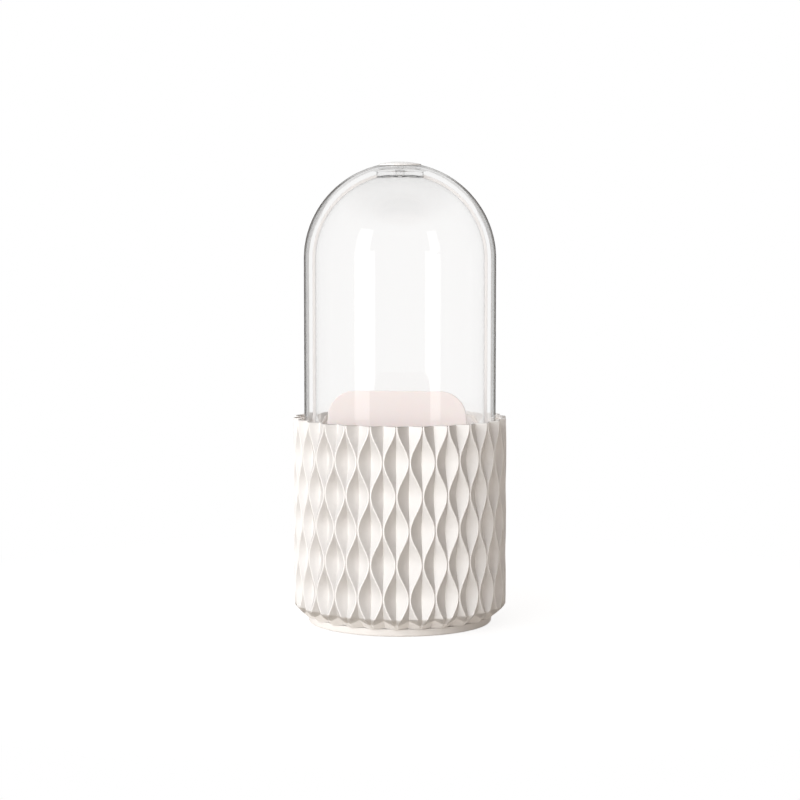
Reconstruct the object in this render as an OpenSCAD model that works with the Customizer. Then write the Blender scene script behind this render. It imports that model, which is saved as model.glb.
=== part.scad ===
// Round makeup organizer on a turntable: a patterned drum with a lift-out tray and
// brush dividers, under a clear dome whose outer half turns aside as a door.
// Origin: centre of the underside. +Z up, the door faces -Y. Millimetres.

/* [Drum] */
// Diameter over the crests of the pattern
body_d = 140; // [134:1:160]
// Height of the sleeve's upper edge above the table
rim_z = 135; // [120:1:160]
// Height of the drum's lower edge above the table
body_bottom_z = 5.2; // [5.2:0.1:7]
// How far the lower corner slants inwards
corner_in = 7.3; // [5:0.1:8]
// Height over which the lower corner slants inwards
corner_h = 7.5; // [5:0.5:12]
// Skin of the sleeve behind the deepest place of a leaf
skin_t = 1.5; // [1.2:0.1:1.8]
// Height of the sleeve's upper edge above the rim's deck
edge_h = 1.6; // [1.2:0.1:2.4]
// How much thinner than the skin the sleeve is round the deck
edge_step = 0.3; // [0.2:0.1:0.5]
// Chamfer on the sleeve's upper edge
edge_chamfer = 0.5; // [0.2:0.1:0.6]
// Height of the ledge for the floor plate above the lower edge
ledge_rise = 10; // [9.5:0.5:13]
// Width of that ledge
ledge_w = 2.5; // [1.5:0.1:3]

/* [Leaf pattern] */
// Pairs of vertical rows of leaves around the drum
leaf_pairs = 26; // [16:1:30]
// Height of one leaf from waist to waist
leaf_len = 43.4; // [30:0.2:60]
// Depth of a leaf at its widest place
leaf_depth = 4; // [1:0.1:4.2]
// How far the crests swing sideways, as a share of half a row
leaf_swing = 0.84; // [0.3:0.02:0.9]
// Height of one waist of the first row below the sleeve's upper edge
leaf_waist_drop = 1; // [0:0.5:20]
// Turn of the first row from the front
leaf_turn = -2; // [-14:0.5:14]
// Steps over one leaf's height
leaf_steps = 8; // [6:2:12]
// Share of the leaf's depth that is left at the lower edge
leaf_end_share = 1; // [0.3:0.05:1]

/* [Rim] */
// Thickness of the rim's deck, which fills the sleeve's upper edge
deck_t = 1.5; // [1:0.1:3]
// Depth of the grooves that the dome stands in
groove_depth = 6.4; // [4:0.2:10]
// Thickness under the grooves
groove_floor_t = 1.6; // [1:0.1:3]
// Thickness of the inner lip of the rim
lip_t = 1; // [0.8:0.1:1.4]
// Depth of the rim's skirt inside the sleeve, below the groove's underside
skirt_h = 4; // [2:0.5:12]
// Thickness of the skirt
skirt_t = 1.8; // [1:0.1:2]

// Width of the deck from the pattern's crests to the door
deck_w = 7.2; // [6.8:0.1:8]
// Distance of the cup's edge below the sleeve's upper edge
cup_drop = 2; // [1:0.1:4]

/* [Dome] */
// Height of the dome's apex above the table
dome_top_z = 300.8; // [270:1:330]
// Thickness of both halves
dome_wall = 2; // [1.5:0.1:2.2]
// Space between the two halves
shell_gap = 3.6; // [3.6:0.1:4]
// Arc covered by each half, in degrees
shell_arc = 190; // [184:1:200]
// Width of the door's stop in the groove, in degrees
stop_arc = 2.6; // [2:0.1:6]
// Space between the door's edge and its stop, in degrees
stop_clear_arc = 0.4; // [0.3:0.1:1]
// Distance of the stop's top below the rim's deck
stop_drop = 1; // [0:0.5:3]

/* [Pivot] */
// Diameter of the button on the apex
cap_d = 27.8; // [24:0.2:30]
// Height of the button's top above the dome's apex
cap_rise = 0.6; // [0.3:0.1:1.5]
// Height of the button's crown over its edge
cap_crown = 1.5; // [0.8:0.1:1.6]
// Depth of the ear's top face below the dome's apex
ear_drop = 2.9; // [2.8:0.1:3]
// Thickness of the door's ear at the pivot
ear_t = 1.4; // [1.2:0.1:1.6]
// Radius of the bush that the door turns on
bush_r = 10.5; // [8:0.1:11]
// Thickness of the slip washer under the ear
slip_t = 0.5; // [0.4:0.1:0.6]
// Width of the slip washer's ring
slip_w = 4.4; // [3:0.1:4.6]
// Depth of the flat pad under the apex for the screw
pad_drop = 0.7; // [0.5:0.1:0.9]
// Radius of the pivot screw's head
pivot_head_r = 3.8; // [3:0.1:5]
// Height of the pivot screw's head
pivot_head_h = 2.2; // [1.6:0.1:3]
// Radius of the washer under that head
screw_washer_r = 6; // [5:0.1:7]
// Thickness of the washer under that head
screw_washer_t = 0.8; // [0.5:0.1:1.2]
// Plastic left over the screw's tip in the button
cap_over_screw = 1; // [0.8:0.1:1.2]
// Nominal radius of the pivot screw
pivot_screw_r = 2; // [1.5:0.1:2.5]

/* [Cup] */
// Wall of the inner cup
cup_wall = 1.3; // [1:0.1:2]
// Floor of the inner cup
cup_floor_t = 1.6; // [1.2:0.1:3]
// Thickness of the cup's guide and support ribs
rib_t = 1.4; // [1:0.1:2]
// How far the ribs stand in from the cup's wall
rib_reach = 3; // [2:0.1:4]

/* [Inserts] */
// Turn of the tray and dividers about the axis, in degrees
insert_turn = -4.5; // [-10:0.5:10]
// Thickness of the tray's tall back panel
panel_t = 2; // [1.5:0.1:3]
// Distance of the panel's middle in front of the axis
panel_y = 25.5; // [20:0.5:34]
// Height of the panel above the rim
panel_rise = 19; // [10:1:30]
// Radius of the panel's upper corners
panel_corner_r = 17; // [5:1:20]
// Depth of the tray's floor below the rim
tray_depth = 59.6; // [40:0.2:75]
// Thickness of the tray's floor and wall
tray_wall = 1.5; // [1.2:0.1:2.5]
// Distance of the tray's curved wall below the rim
tray_wall_drop = 7; // [3:1:20]
// Distance of each tray partition from the middle
partition_x = 15; // [10:0.5:20]
// Distance of the partitions' top below the rim
partition_drop = 15; // [10:1:30]
// Thickness of the brush dividers
divider_t = 2; // [1.5:0.1:3]
// Distance of the long divider behind the axis
divider_y = 10; // [0:1:20]
// Distance of the dividers' top below the rim
divider_drop = 17; // [10:1:40]

// Gap between the short divider and the tray's panel
divider_gap = 0.6; // [0.4:0.1:2]
// Extra width of the slots where the dividers cross
lap_clear = 0.3; // [0.2:0.1:0.6]

/* [Turntable] */
// Distance of the foot's edge inside the drum's lower edge
foot_inset = 2.4; // [1:0.1:5]
// Height of the foot's top face
foot_top_z = 4.9; // [4.2:0.1:4.9]
// Height of the foot's underside above the table
foot_lift = 0.2; // [0.1:0.05:0.4]
// Height of the lower race above the foot's top face
race_h = 2.3; // [2:0.1:2.4]
// Space between the two races
race_gap = 2.4; // [2.2:0.1:2.6]
// Width of each race
race_w = 11; // [9:0.5:12]
// Diameter of the bearing balls
ball_d = 5; // [4.6:0.1:5.4]
// Radius of the circle that the balls run on
race_r = 42; // [38:0.5:44]
// Number of balls
ball_count = 20; // [12:1:24]
// Thickness of the ball cage
cage_t = 1.2; // [1:0.1:1.4]
// Radius of the centre axle
axle_r = 4; // [3:0.1:5]
// Radius of the axle's head
axle_head_r = 7; // [6:0.1:9]
// Height of the axle's head
axle_head_h = 2.2; // [1.6:0.1:2.2]
// Depth of the axle's head in the foot's underside
axle_recess = 0.7; // [0.3:0.1:1]
// Play between the floor plate and the slide washer
axle_float = 0.1; // [0.1:0.05:0.3]
// Radius of the foot's boss around the axle
foot_boss_r = 9; // [8:0.5:14]
// Thickness of the slide washer on the axle
axle_washer_t = 1; // [0.6:0.1:1.2]
// Outer radius of the slide washer
axle_washer_r = 9.5; // [8:0.5:12]
// Thickness of the clip in the axle's groove
clip_t = 0.9; // [0.6:0.1:1.2]
// Outer radius of the clip
clip_r = 7; // [6:0.1:8]
// Depth of the axle's groove
clip_groove = 0.7; // [0.4:0.1:1]
// Length of the axle above its groove
axle_tip_h = 1.4; // [1:0.1:1.6]
// Width of the rubber ring
foot_ring_w = 7.6; // [4:0.2:9]
// Distance of the rubber ring inside the foot's edge
foot_ring_inset = 4.5; // [3:0.1:6]
// Depth of the rubber ring's seat
foot_ring_seat = 0.8; // [0.5:0.1:1.2]
// Thickness of the floor plate
plate_t = 2.5; // [2.2:0.1:3]
// Thickness of the floor plate's flange
flange_t = 2.2; // [1.8:0.1:3]
// Width of the cup's seat on the flange
seat_w = 1.2; // [1:0.1:3]
// Radius of the floor screws' circle
floor_screw_circle_r = 25; // [18:0.5:30]
// Number of floor screws
floor_screw_count = 4; // [3:1:6]
// Nominal radius of the floor screws
floor_screw_r = 1.5; // [1.2:0.1:2]
// Radius of the floor screws' heads
floor_head_r = 2.8; // [2.2:0.1:3.2]
// Height of the floor screws' heads
floor_head_h = 2; // [1.4:0.1:2.4]
// Radius of the cup's bosses for the floor screws
floor_boss_r = 4; // [3.2:0.1:5]

/* [Clearances] */
// Between faces on pieces that move against each other
move_clear = 0.3; // [0.3:0.05:0.4]
// Either side of the door in its groove
door_clear = 0.4; // [0.3:0.05:0.45]
// Between pieces that are fixed together
fit_clear = 0.3; // [0.2:0.05:0.4]
// Radial, between a shaft and what turns on it
run_clear = 0.08; // [0.04:0.01:0.1]
// Radial, between a screw or pin and what holds it
screw_clear = 0.05; // [0.02:0.01:0.08]
// Between a ball and its races
ball_clear = 0.2; // [0.15:0.05:0.25]
// Between the tray or dividers and the cup's wall
insert_clear = 0.4; // [0.3:0.05:0.6]

/* [Hidden] */
$fn = 96;
eps = 0.01;

// Sleeve: the crests lie on one cylinder, the skin follows the deepest leaves
crest_r = body_d / 2;
deck_z = rim_z - edge_h;
deck_under_z = deck_z - deck_t;
sleeve_inner_r = crest_r - leaf_depth - skin_t;
edge_t = skin_t - edge_step;
corner_top_z = body_bottom_z + corner_h;
bottom_edge_r = crest_r - corner_in;
edge_inner_r = bottom_edge_r - leaf_depth * leaf_end_share - skin_t;
ledge_z = body_bottom_z + ledge_rise;
ledge_r = sleeve_inner_r - ledge_w;
corner_steps = 4;
corner_power = 1.3;

// Leaves: every second row is shifted by half a leaf's height
row_count = 2 * leaf_pairs;
row_step = 360 / row_count;
ring_points = 2 * row_count;
waist_z = rim_z - leaf_waist_drop;
level_step = leaf_len / leaf_steps;

// Dome: door outside, fixed half inside, both centred on one sphere
door_r = crest_r - deck_w;
door_inner_r = door_r - dome_wall;
rear_r = door_inner_r - shell_gap;
rear_inner_r = rear_r - dome_wall;
sphere_z = dome_top_z - door_r;

// Rim: outer groove for the door, inner groove for the fixed half
groove_z = deck_z - groove_depth;
groove_under_z = groove_z - groove_floor_t;
door_bottom_z = groove_z + door_clear;
door_groove_outer_r = door_r + door_clear;
door_groove_inner_r = door_inner_r - door_clear;
rear_groove_outer_r = rear_r + fit_clear;
lip_outer_r = rear_inner_r - fit_clear;
lip_inner_r = lip_outer_r - lip_t;
skirt_r = sleeve_inner_r - fit_clear;
skirt_z = groove_under_z - skirt_h;
stop_start = -shell_arc / 2 - stop_clear_arc - stop_arc;

// Pivot: the button fills a pocket in the door's ear
cap_r = cap_d / 2;
cap_top_z = dome_top_z + cap_rise;
ear_top_z = dome_top_z - ear_drop;
ear_z = ear_top_z - ear_t;
door_mid_r = door_r - dome_wall / 2;
ear_r = sqrt(pow(door_mid_r, 2) - pow(ear_top_z - ear_t / 2 - sphere_z, 2));
pocket_r = cap_r + move_clear;
cap_z = ear_top_z + move_clear;
crown_r = (pow(cap_r, 2) + pow(cap_crown, 2)) / (2 * cap_crown);
boss_top_z = ear_z - move_clear - slip_t;
slip_inner_r = bush_r + run_clear;
slip_r = slip_inner_r + slip_w;
pivot_boss_r = slip_r + fit_clear;
pad_z = sphere_z + rear_inner_r - pad_drop;
pivot_hole_r = pivot_screw_r + 4 * screw_clear;
pivot_head_z = pad_z - screw_washer_t;
pivot_tip_z = cap_top_z - cap_over_screw;

// Turntable: foot, lower race, balls, upper race in the floor plate
foot_r = bottom_edge_r - foot_inset;
race_top_z = foot_top_z + race_h;
plate_z = race_top_z + race_gap;
plate_top_z = plate_z + plate_t;
ball_z = race_top_z + race_gap / 2;
race_groove_r = ball_d / 2 + ball_clear;
race_inner_r = race_r - race_w / 2;
race_outer_r = race_r + race_w / 2;
cage_hole_r = ball_d / 2 + 0.75 * ball_clear;
cage_w = race_w - 3;
axle_head_z = foot_lift + axle_recess;
axle_shank_z = axle_head_z + axle_head_h;
washer_z = plate_top_z + axle_float;
clip_z = washer_z + axle_washer_t;
axle_top_z = clip_z + clip_t + axle_tip_h;
foot_boss_z = plate_z - move_clear;
foot_edge_round = 0.6;
foot_ring_outer_r = foot_r - foot_ring_inset;
foot_ring_inner_r = foot_ring_outer_r - foot_ring_w;
foot_ring_top_z = foot_lift + foot_ring_seat;

// Cup: stands on the floor plate's flange, inside the rim's lip
cup_r = lip_inner_r - fit_clear;
cup_inner_r = cup_r - cup_wall;
flange_top_z = ledge_z + flange_t;
flange_r = sleeve_inner_r - fit_clear;
cup_z = flange_top_z;
cup_floor_z = cup_z + cup_floor_t;
cup_top_z = rim_z - cup_drop;
pan_r = cup_r - seat_w;
floor_screw_tip = 0.7;
floor_bore_z = cup_z + floor_screw_tip;

// Tray and dividers: all stay insert_clear inside the cup
insert_r = cup_inner_r - insert_clear;
tray_floor_z = rim_z - tray_depth;
tray_z = tray_floor_z - tray_wall;
tray_wall_top_z = rim_z - tray_wall_drop;
partition_top_z = rim_z - partition_drop;
panel_front_y = panel_y + panel_t / 2;
panel_back_y = panel_y - panel_t / 2;
panel_inset = 0.2;
panel_half = sqrt(pow(insert_r, 2) - pow(panel_front_y, 2)) - panel_inset;
tray_mid_z = tray_z + tray_wall / 2;
panel_top_z = rim_z + panel_rise;
tray_rib_angles = [-54, -20, 20, 54];
divider_top_z = rim_z - divider_drop;
divider_mid_z = (cup_floor_z + divider_top_z) / 2;
divider_back = divider_y + divider_t / 2;
long_half = sqrt(pow(insert_r, 2) - pow(divider_back, 2));
short_back = sqrt(pow(insert_r, 2) - pow(divider_t / 2, 2));
short_front = divider_gap - panel_back_y;

// Angles run from the front (-Y) towards +X
function polar(r, a, z) = [r * sin(a), -r * cos(a), z];

// Where a level stands in the leaves' height, and which way a row leans
function wave(z) = cos(360 * (z - waist_z) / leaf_len);
function lean(row) = row % 2 == 0 ? 1 : -1;

// Half the width of a leaf against the widest, and the leaf's depth there
function leaf_share(row, z) = (1 - lean(row) * leaf_swing * wave(z)) / (1 + leaf_swing);
function corner_share(z) = max(0, (corner_top_z - z) / corner_h);
function level_r(z) = crest_r - corner_in * pow(corner_share(z), corner_power);
function level_depth(z) = leaf_depth * (1 - (1 - leaf_end_share) * corner_share(z));
function valley_angle(row) = leaf_turn + row * row_step;
function crest_angle(row, z) =
    valley_angle(row) + row_step / 2 * (1 - lean(row) * leaf_swing * wave(z));

// One ring of the pattern: a valley and the crest after it for each row
function leaf_ring(z, inset = 0, lift = 0) = [
    for (row = [0 : row_count - 1])
        for (part = [0, 1])
            let (r = level_r(z) - inset)
                part == 0
                    ? polar(r - level_depth(z) * leaf_share(row, z), valley_angle(row), z + lift)
                    : polar(r, crest_angle(row, z), z + lift)
];
function plain_ring(r, z) = [
    for (k = [0 : ring_points - 1]) polar(r, leaf_turn + k * row_step / 2, z)
];

corner_levels = [for (i = [0 : corner_steps]) body_bottom_z + corner_h * i / corner_steps];
level_count = floor((waist_z - corner_top_z) / level_step);
leaf_levels = [
    for (k = [level_count : -1 : 0])
        let (z = waist_z - k * level_step)
            if (z > corner_top_z + level_step / 4 && z < rim_z - level_step / 2) z
];
sleeve_rings = concat(
    [for (z = concat(corner_levels, leaf_levels, [rim_z - edge_chamfer])) leaf_ring(z)],
    [
        leaf_ring(rim_z, edge_chamfer),
        leaf_ring(rim_z, edge_t),
        leaf_ring(rim_z, edge_t, deck_under_z - rim_z),
        plain_ring(sleeve_inner_r, deck_under_z),
        plain_ring(sleeve_inner_r, ledge_z),
        plain_ring(ledge_r, ledge_z),
        plain_ring(edge_inner_r, body_bottom_z)
    ]
);

// Faces of a tube whose rings close on themselves
function tube_faces(rings, points) = [
    for (i = [0 : rings - 1])
        for (k = [0 : points - 1])
            let (
                j = (i + 1) % rings,
                n = (k + 1) % points,
                a = i * points + k,
                b = i * points + n,
                c = j * points + n,
                d = j * points + k
            )
                for (face = [[a, d, c], [a, c, b]]) face
];

module ring(outer_r, inner_r, z, h) {
    translate([0, 0, z])
        difference() {
            cylinder(r = outer_r, h = h);
            translate([0, 0, -1])
                cylinder(r = inner_r, h = h + 2);
        }
}

module ball_groove() {
    rotate_extrude()
        translate([race_r, ball_z])
            circle(r = race_groove_r);
}

module around(count, r) {
    for (i = [0 : count - 1])
        rotate([0, 0, 360 * (i + 0.5) / count])
            translate([r, 0, 0])
                children();
}

module cross_recess(width, r, z, depth) {
    for (a = [0, 90])
        rotate([0, 0, a])
            translate([-r, -width / 2, z])
                cube([2 * r, width, depth]);
}

// Standing foot with the lower race and the axle's boss
module turntable_foot() {
    color("gainsboro")
        difference() {
            rotate_extrude()
                polygon([
                    [0, foot_lift],
                    [foot_r - foot_edge_round, foot_lift],
                    [foot_r, foot_lift + foot_edge_round],
                    [foot_r, foot_top_z - foot_edge_round / 2],
                    [foot_r - foot_edge_round / 2, foot_top_z],
                    [race_outer_r, foot_top_z],
                    [race_outer_r, race_top_z],
                    [race_inner_r, race_top_z],
                    [race_inner_r, foot_top_z],
                    [foot_boss_r, foot_top_z],
                    [foot_boss_r, foot_boss_z],
                    [0, foot_boss_z]
                ]);
            ball_groove();
            ring(foot_ring_outer_r + fit_clear, foot_ring_inner_r - fit_clear, 0, foot_ring_top_z);
            cylinder(r = axle_head_r + fit_clear, h = axle_shank_z);
            cylinder(r = axle_r + screw_clear, h = foot_boss_z + 1);
        }
}

module foot_ring() {
    color("dimgray")
        ring(foot_ring_outer_r, foot_ring_inner_r, 0, foot_ring_top_z);
}

module centre_axle() {
    color("silver")
        rotate_extrude()
            polygon([
                [0, axle_head_z],
                [axle_head_r, axle_head_z],
                [axle_head_r, axle_shank_z],
                [axle_r, axle_shank_z],
                [axle_r, clip_z],
                [axle_r - clip_groove, clip_z],
                [axle_r - clip_groove, clip_z + clip_t],
                [axle_r, clip_z + clip_t],
                [axle_r, axle_top_z - clip_groove / 2],
                [axle_r - clip_groove / 2, axle_top_z],
                [0, axle_top_z]
            ]);
}

module axle_washer() {
    color("whitesmoke")
        ring(axle_washer_r, axle_r + fit_clear, washer_z, axle_washer_t);
}

// Open clip that snaps into the axle's groove
module axle_clip() {
    clip_inner_r = axle_r - clip_groove + screw_clear;
    color("slategray")
        difference() {
            ring(clip_r, clip_inner_r, clip_z, clip_t);
            translate([0, -clip_inner_r * 0.8, clip_z - 1])
                cube([clip_r + 1, clip_inner_r * 1.6, clip_t + 2]);
        }
}

module ball_cage() {
    cage_z = ball_z - cage_t / 2;
    color("ivory")
        difference() {
            ring(race_r + cage_w / 2, race_r - cage_w / 2, cage_z, cage_t);
            around(ball_count, race_r)
                translate([0, 0, cage_z - 1])
                    cylinder(r = cage_hole_r, h = cage_t + 2);
        }
}

module bearing_balls() {
    color("silver")
        around(ball_count, race_r)
            translate([0, 0, ball_z])
                sphere(d = ball_d);
}

// Dished floor of the drum: upper race below, seat for the cup above
module turntable_plate() {
    color("lightgray")
        difference() {
            rotate_extrude()
                polygon([
                    [axle_r + run_clear, plate_z],
                    [pan_r, plate_z],
                    [pan_r, ledge_z],
                    [flange_r, ledge_z],
                    [flange_r, flange_top_z],
                    [pan_r - plate_t, flange_top_z],
                    [pan_r - plate_t, plate_top_z],
                    [axle_r + run_clear, plate_top_z]
                ]);
            ball_groove();
            around(floor_screw_count, floor_screw_circle_r)
                translate([0, 0, plate_z - 1])
                    cylinder(r = floor_screw_r + 4 * screw_clear, h = plate_t + 2);
        }
}

module floor_screws() {
    color("silver")
        around(floor_screw_count, floor_screw_circle_r)
            difference() {
                union() {
                    translate([0, 0, plate_z - floor_head_h])
                        cylinder(r = floor_head_r, h = floor_head_h);
                    translate([0, 0, plate_z - eps])
                        cylinder(r = floor_screw_r, h = cup_z - plate_z);
                }
                cross_recess(0.8, floor_head_r * 0.6, plate_z - floor_head_h - eps, 1.1);
            }
}

// Patterned skin of the drum
module wave_sleeve() {
    color("white")
        polyhedron(
            points = [for (level = sleeve_rings) for (p = level) p],
            faces = tube_faces(len(sleeve_rings), ring_points)
        );
}

// Ring with the dome's two grooves; its deck follows the pattern inside the sleeve's edge
module rim_ring() {
    deck_outline = [for (p = leaf_ring(rim_z, edge_t + fit_clear)) [p[0], p[1]]];
    color("ivory")
        union() {
            rotate_extrude()
                polygon([
                    [lip_inner_r, groove_under_z],
                    [skirt_r - skirt_t, groove_under_z],
                    [skirt_r - skirt_t, skirt_z],
                    [skirt_r, skirt_z],
                    [skirt_r, deck_z],
                    [door_groove_outer_r, deck_z],
                    [door_groove_outer_r, groove_z],
                    [door_groove_inner_r, groove_z],
                    [door_groove_inner_r, deck_z],
                    [rear_groove_outer_r, deck_z],
                    [rear_groove_outer_r, groove_z],
                    [lip_outer_r, groove_z],
                    [lip_outer_r, deck_z],
                    [lip_inner_r, deck_z]
                ]);
            translate([0, 0, deck_under_z])
                linear_extrude(height = deck_t)
                    difference() {
                        polygon(deck_outline);
                        circle(r = (skirt_r + door_groove_outer_r) / 2);
                    }
            rotate([0, 0, stop_start - 90])
                rotate_extrude(angle = stop_arc)
                    translate([door_groove_inner_r - door_clear / 2, groove_z - groove_floor_t / 2])
                        square([
                            door_groove_outer_r - door_groove_inner_r + door_clear,
                            groove_depth + groove_floor_t / 2 - stop_drop
                        ]);
        }
}

// Guide ribs either side of a divider's end, and ribs that the tray stands on
module cup_ribs() {
    rib_outer = cup_r;
    guide_x = divider_t / 2 + insert_clear;
    rib_len = rib_outer - cup_inner_r + rib_reach;
    long_start = long_half - rib_reach;
    rotate([0, 0, insert_turn])
        union() {
            for (a = tray_rib_angles)
                rotate([0, 0, a])
                    translate([-rib_t / 2, -rib_outer, cup_floor_z - eps])
                        cube([rib_t, rib_len, tray_z - cup_floor_z + eps]);
            for (side = [0, 1])
                mirror([side, 0, 0]) {
                    for (y = [divider_y + guide_x, divider_y - guide_x - rib_t])
                        translate([long_start, y, cup_floor_z - eps])
                            cube([rib_outer - long_start, rib_t, divider_top_z - cup_floor_z]);
                    translate([guide_x, rib_outer - rib_len, cup_floor_z - eps])
                        cube([rib_t, rib_len, divider_top_z - cup_floor_z]);
                }
        }
}

module inner_cup() {
    color("white")
        difference() {
            union() {
                rotate_extrude()
                    polygon([
                        [0, cup_z],
                        [cup_r, cup_z],
                        [cup_r, cup_top_z],
                        [cup_inner_r, cup_top_z],
                        [cup_inner_r, cup_floor_z],
                        [0, cup_floor_z]
                    ]);
                intersection() {
                    cup_ribs();
                    translate([0, 0, cup_z])
                        cylinder(r = cup_r - cup_wall / 2, h = rim_z);
                }
                around(floor_screw_count, floor_screw_circle_r)
                    translate([0, 0, plate_top_z])
                        cylinder(r = floor_boss_r, h = cup_z - plate_top_z + eps);
            }
            around(floor_screw_count, floor_screw_circle_r)
                translate([0, 0, plate_z])
                    cylinder(r = floor_screw_r + screw_clear, h = floor_bore_z - plate_z);
        }
}

// Section of one half of the dome: a straight wall under a quarter circle
module dome_section(outer_r, bottom_z) {
    translate([0, sphere_z])
        intersection() {
            difference() {
                circle(r = outer_r);
                circle(r = outer_r - dome_wall);
            }
            square(outer_r + 1);
        }
    translate([outer_r - dome_wall, bottom_z])
        square([dome_wall, sphere_z - bottom_z]);
}

// Everything outside a half's arc, apart from the middle of its crown
module dome_cut(mid_angle, kept_r) {
    steps = 5;
    open_arc = 360 - shell_arc;
    reach = 2 * crest_r;
    corners = [
        for (i = [0 : steps])
            let (p = polar(reach, mid_angle - open_arc / 2 + open_arc * i / steps, 0))
                [p[0], p[1]]
    ];
    difference() {
        translate([0, 0, groove_z - 1])
            linear_extrude(height = cap_top_z - groove_z + 2)
                polygon(concat([[0, 0]], corners));
        translate([0, 0, groove_z - 2])
            cylinder(r = kept_r, h = cap_top_z - groove_z + 4);
    }
}

// Fixed inner half, round the back
module dome_rear() {
    color([0.92, 0.95, 0.97, 0.3])
        difference() {
            union() {
                rotate_extrude()
                    dome_section(rear_r, groove_z);
                translate([0, 0, pad_z])
                    cylinder(r = pivot_boss_r, h = boss_top_z - pad_z);
            }
            dome_cut(0, pivot_boss_r);
            translate([0, 0, pad_z - 1])
                cylinder(r = pivot_hole_r, h = boss_top_z - pad_z + 2);
        }
}

// Outer half, the door, round the front when closed
module dome_door() {
    color([0.95, 0.97, 0.98, 0.3])
        difference() {
            union() {
                rotate_extrude()
                    dome_section(door_r, door_bottom_z);
                translate([0, 0, ear_z])
                    cylinder(r = ear_r, h = ear_t);
            }
            dome_cut(180, ear_r);
            translate([0, 0, ear_top_z])
                cylinder(r = pocket_r, h = ear_drop + 1);
            translate([0, 0, ear_z - 1])
                cylinder(r = bush_r + run_clear, h = ear_t + 2);
        }
}

module pivot_cap() {
    color("white")
        difference() {
            rotate_extrude()
                intersection() {
                    translate([0, cap_z])
                        square([cap_r, cap_top_z - cap_z]);
                    translate([0, cap_top_z - crown_r])
                        circle(r = crown_r, $fn = 360);
                }
            translate([0, 0, cap_z - 1])
                cylinder(r = pivot_screw_r + screw_clear, h = pivot_tip_z - cap_z + 1 + screw_clear);
        }
}

module pivot_bush() {
    color("whitesmoke")
        ring(bush_r, pivot_hole_r, boss_top_z, cap_z - boss_top_z);
}

module slip_washer() {
    color("whitesmoke")
        ring(slip_r, slip_inner_r, boss_top_z, slip_t);
}

module pivot_screw() {
    color("silver")
        difference() {
            union() {
                translate([0, 0, pivot_head_z - pivot_head_h])
                    cylinder(r = pivot_head_r, h = pivot_head_h);
                translate([0, 0, pivot_head_z - eps])
                    cylinder(r = pivot_screw_r, h = pivot_tip_z - pivot_head_z);
            }
            cross_recess(1, pivot_head_r * 0.6, pivot_head_z - pivot_head_h - eps, 1.2);
        }
}

module screw_washer() {
    color("silver")
        ring(screw_washer_r, pivot_hole_r, pivot_head_z, screw_washer_t);
}

// Tall panel with two round upper corners
module panel_outline() {
    corner_x = panel_half - panel_corner_r;
    corner_z = panel_top_z - panel_corner_r;
    translate([-panel_half, tray_mid_z])
        square([2 * panel_half, corner_z - tray_mid_z]);
    translate([-corner_x, corner_z - eps])
        square([2 * corner_x, panel_corner_r + eps]);
    for (side = [-1, 1])
        translate([side * corner_x, corner_z])
            circle(r = panel_corner_r);
}

module tray_area(r, front_y) {
    intersection() {
        circle(r = r);
        translate([-crest_r, -crest_r])
            square([2 * crest_r, crest_r - front_y]);
    }
}

// Tray with a curved front wall, two partitions and the tall back panel
module front_tray() {
    color("mistyrose")
        rotate([0, 0, insert_turn])
            union() {
                difference() {
                    translate([0, 0, tray_z])
                        linear_extrude(height = tray_wall_top_z - tray_z)
                            tray_area(insert_r, panel_back_y);
                    translate([0, 0, tray_floor_z])
                        linear_extrude(height = rim_z)
                            tray_area(insert_r - tray_wall, panel_front_y);
                }
                translate([0, -panel_back_y, 0])
                    rotate([90, 0, 0])
                        linear_extrude(height = panel_t)
                            panel_outline();
                intersection() {
                    for (x = [-partition_x, partition_x])
                        translate([x - tray_wall / 2, -insert_r, tray_mid_z])
                            cube([tray_wall, insert_r - panel_y, partition_top_z - tray_mid_z]);
                    cylinder(r = insert_r - tray_wall / 2, h = rim_z);
                }
            }
}

// Brush dividers, halved into each other where they cross
module divider_long() {
    lap_w = divider_t + lap_clear;
    color("mistyrose")
        rotate([0, 0, insert_turn])
            difference() {
                translate([-long_half, divider_y - divider_t / 2, cup_floor_z])
                    cube([2 * long_half, divider_t, divider_top_z - cup_floor_z]);
                translate([-lap_w / 2, divider_y - divider_t, divider_mid_z - lap_clear / 2])
                    cube([lap_w, 2 * divider_t, divider_top_z]);
            }
}

module divider_short() {
    lap_w = divider_t + lap_clear;
    color("mistyrose")
        rotate([0, 0, insert_turn])
            difference() {
                translate([-divider_t / 2, short_front, cup_floor_z])
                    cube([divider_t, short_back - short_front, divider_top_z - cup_floor_z]);
                translate([-divider_t, divider_y - lap_w / 2, cup_floor_z - 1])
                    cube([2 * divider_t, lap_w, divider_mid_z + lap_clear / 2 - cup_floor_z + 1]);
            }
}

turntable_foot();
foot_ring();
centre_axle();
axle_washer();
axle_clip();
ball_cage();
bearing_balls();
turntable_plate();
floor_screws();
wave_sleeve();
rim_ring();
inner_cup();
dome_rear();
dome_door();
pivot_cap();
pivot_bush();
slip_washer();
pivot_screw();
screw_washer();
front_tray();
divider_long();
divider_short();
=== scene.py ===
import math

import bpy
import bmesh
from mathutils import Matrix, Vector


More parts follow.
